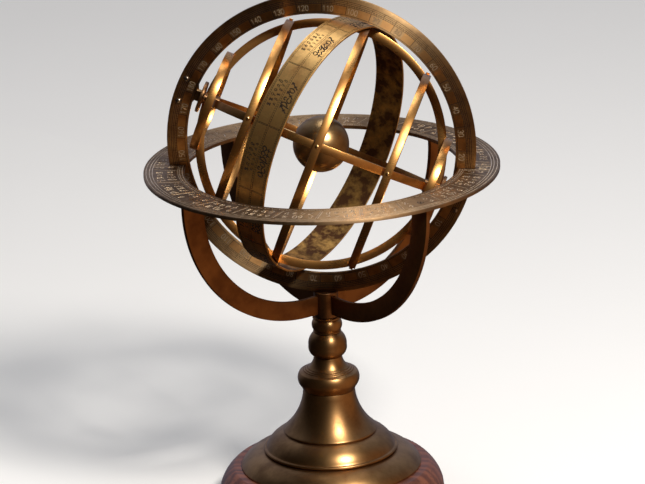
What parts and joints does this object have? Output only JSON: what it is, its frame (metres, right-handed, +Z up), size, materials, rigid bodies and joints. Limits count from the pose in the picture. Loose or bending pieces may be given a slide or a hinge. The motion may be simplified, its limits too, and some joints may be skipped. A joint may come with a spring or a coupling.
{
  "type": "armillary sphere",
  "caption": "Brass armillary sphere: a ball inside a turning cage of celestial rings, held by a meridian ring and a horizon ring on a turned column and wooden plinth.",
  "frame": {"origin": "on the floor under the column's axis, at the centre of the base's underside", "axes": "+Z up along the column; +X along the meridian plane towards the sphere's south pole; the front, where the horizon's engraving is read, faces -Y"},
  "size_m": [0.31, 0.31, 0.4693],
  "materials": {
    "felt": "matt felt",
    "plinth_wood": "polished red-brown stain, fine grain",
    "column_brass": "satin, lightly tarnished",
    "hub_brass": "tarnished",
    "steel": "plain turned",
    "arm_brass": "tarnished, worn edges",
    "horizon_brass": "engraved, dull purple-brown patina",
    "meridian_brass": "engraved, brown patina",
    "strip_brass": "satin, orange-gold",
    "zodiac_brass": "engraved, mottled patina",
    "ball_brass": "satin",
    "fitting_brass": "bright turned"
  },
  "bodies": {
    "base": {"felt_pad": "felt", "wood_plinth": "plinth_wood", "base_bell": "column_brass", "stem_collar": "column_brass", "stem_baluster": "column_brass", "stem_bead": "column_brass", "hub": "hub_brass", "tie_rod": "steel", "tie_washer": "steel", "tie_nut": "steel", "arm_front_left": "arm_brass", "arm_front_right": "arm_brass", "arm_back_left": "arm_brass", "arm_back_right": "arm_brass", "horizon_ring": "horizon_brass", "horizon_screw_1": "fitting_brass", "horizon_screw_2": "fitting_brass", "horizon_screw_3": "fitting_brass", "horizon_screw_4": "fitting_brass"},
    "meridian": {"meridian_ring": "meridian_brass", "north_pole_bracket": "meridian_brass", "south_pole_bracket": "meridian_brass", "north_pivot_pin": "fitting_brass", "south_pivot_pin": "fitting_brass", "bracket_rivet_1": "fitting_brass", "bracket_rivet_2": "fitting_brass", "bracket_rivet_3": "fitting_brass", "bracket_rivet_4": "fitting_brass"},
    "cage": {"equinoctial_colure": "strip_brass", "solstitial_colure": "strip_brass", "equator_ring": "strip_brass", "north_tropic_ring": "strip_brass", "south_tropic_ring": "strip_brass", "arctic_ring": "strip_brass", "antarctic_ring": "strip_brass", "zodiac_band": "zodiac_brass", "north_pole_boss": "fitting_brass", "south_pole_boss": "fitting_brass", "earth_axle": "fitting_brass", "equator_rivet_1": "fitting_brass", "equator_rivet_2": "fitting_brass", "tropic_rivet_1": "fitting_brass", "tropic_rivet_2": "fitting_brass", "tropic_rivet_3": "fitting_brass", "tropic_rivet_4": "fitting_brass", "zodiac_rivet_1": "fitting_brass", "zodiac_rivet_2": "fitting_brass", "zodiac_rivet_3": "fitting_brass", "zodiac_rivet_4": "fitting_brass"},
    "earth": {"earth_ball": "ball_brass"}
  },
  "joints": [
    {"name": "meridian_turn", "type": "hinge", "parent": "base", "child": "meridian", "pos_m": [0, 0, 0.334], "axis": [0, 1, 0], "range_deg": [-3, 139]},
    {"name": "cage_spin", "type": "hinge", "parent": "meridian", "child": "cage", "pos_m": [0, 0, 0.334], "axis": [-0.9272, 0, 0.3746], "continuous": true},
    {"name": "earth_spin", "type": "hinge", "parent": "cage", "child": "earth", "pos_m": [0, 0, 0.334], "axis": [-0.9272, 0, 0.3746], "continuous": true}
  ]
}
